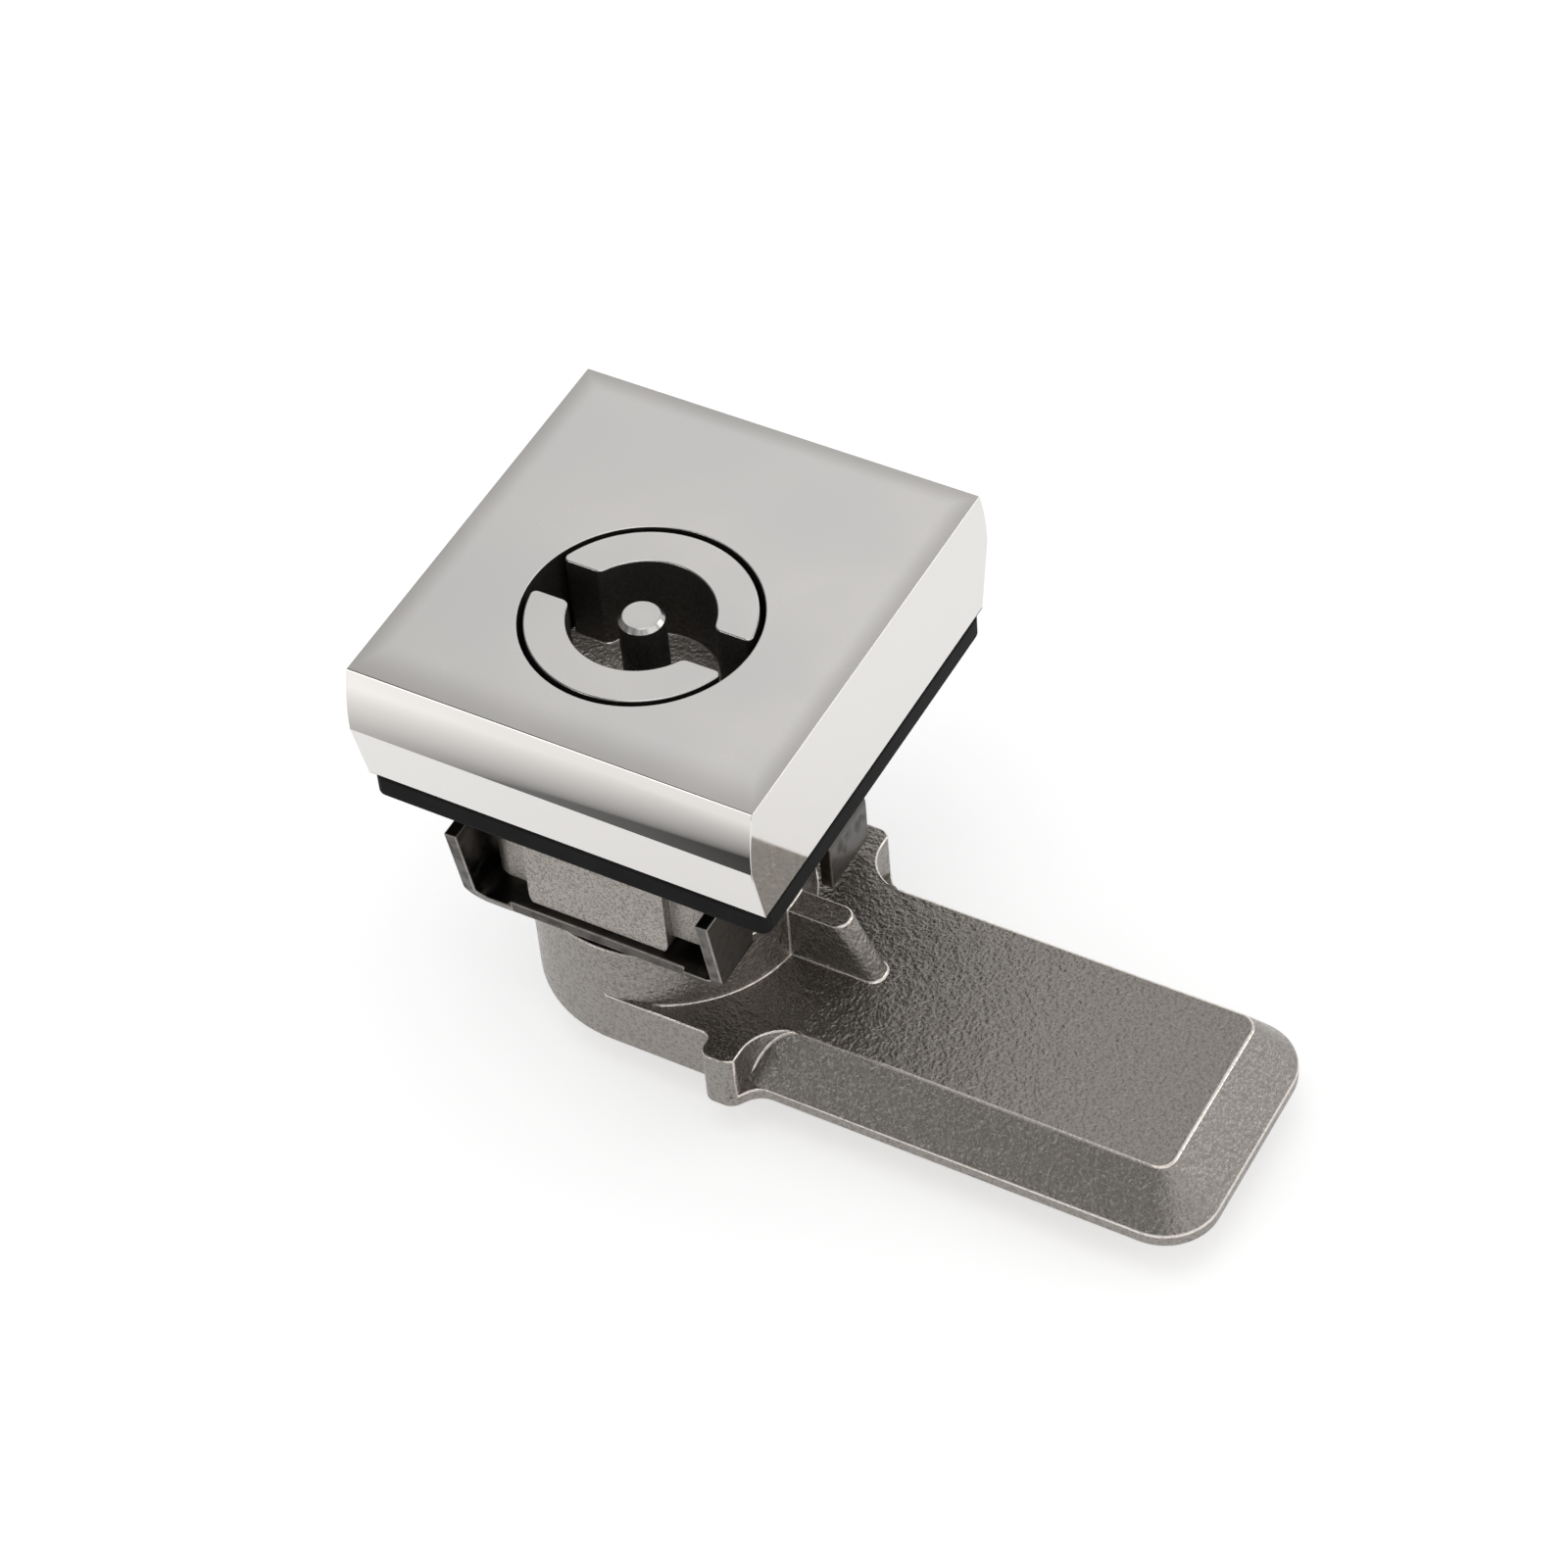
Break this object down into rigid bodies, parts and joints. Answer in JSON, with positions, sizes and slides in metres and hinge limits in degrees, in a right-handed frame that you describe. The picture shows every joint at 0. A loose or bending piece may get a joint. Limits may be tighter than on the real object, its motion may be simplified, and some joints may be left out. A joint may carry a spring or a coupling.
{
  "type": "quarter-turn cabinet door lock",
  "caption": "Square-headed cabinet door lock with a double-bit key rotor, a rubber face gasket, a folded mounting clip and a long cast cam that swings a quarter turn.",
  "frame": {"origin": "on the key axis, in the plane of the door's outer face, which is also the underside of the gasket", "axes": "+Z out of the door towards the person with the key; +X along the cam blade in the closed position"},
  "size_m": [0.063, 0.0352, 0.0385],
  "materials": {
    "head": "satin top, polished sides, blasted shank",
    "rotor": "satin lands, cast well",
    "pin": "ground",
    "gasket": "matte",
    "seal": "smooth",
    "clip": "bright rolled sheet",
    "running_washer": "plain",
    "cam": "fine-grained casting",
    "fasteners": "plain"
  },
  "bodies": {
    "housing": {"housing": "head", "face_gasket": "gasket", "mounting_clip": "clip", "clip_retaining_ring": "fasteners"},
    "rotor": {"key_rotor": "rotor", "key_pin": "pin", "rotor_seal": "seal", "thrust_washer": "running_washer", "cam": "cam", "cam_washer": "fasteners", "cam_spring_washer": "fasteners", "cam_screw": "fasteners"}
  },
  "joints": [
    {"name": "quarter_turn", "type": "hinge", "parent": "housing", "child": "rotor", "pos_m": [0, 0, 0], "axis": [0, 0, -1], "range_deg": [0, 90]}
  ]
}
